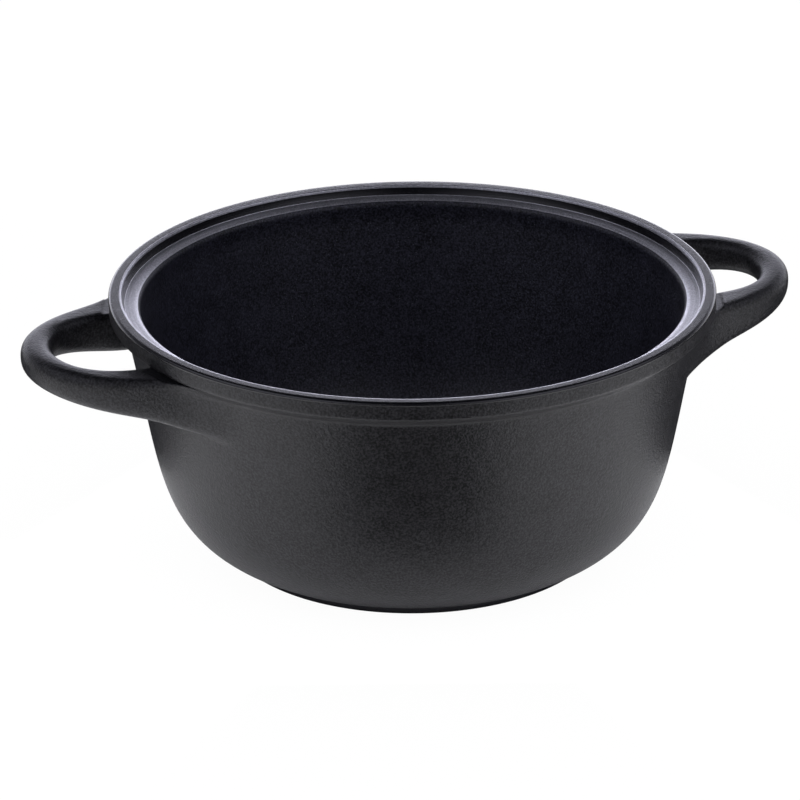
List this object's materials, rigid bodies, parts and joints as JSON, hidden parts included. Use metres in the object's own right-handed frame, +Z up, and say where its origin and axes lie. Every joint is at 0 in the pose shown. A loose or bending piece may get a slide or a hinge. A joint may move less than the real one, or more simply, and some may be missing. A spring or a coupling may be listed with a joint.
{
  "type": "casserole pot",
  "caption": "Open black cast pot with a curved wall, a lid seat inside a thick rim, a loop handle on each side and a flat smooth base.",
  "frame": {"origin": "centre of the flat face the pot rests on", "axes": "+Z up along the pot's turned axis; X through the two handles, handle_right at +X"},
  "size_m": [0.316, 0.24, 0.1079],
  "materials": {
    "cast_black": "matte black with a fine sandy grain",
    "grip_black": "matte black, finer and softly rubbed",
    "plate_black": "smooth turned black"
  },
  "bodies": {
    "root": {"vessel": "cast_black", "handle_left": "grip_black", "handle_right": "grip_black", "base_plate": "plate_black"}
  },
  "joints": []
}
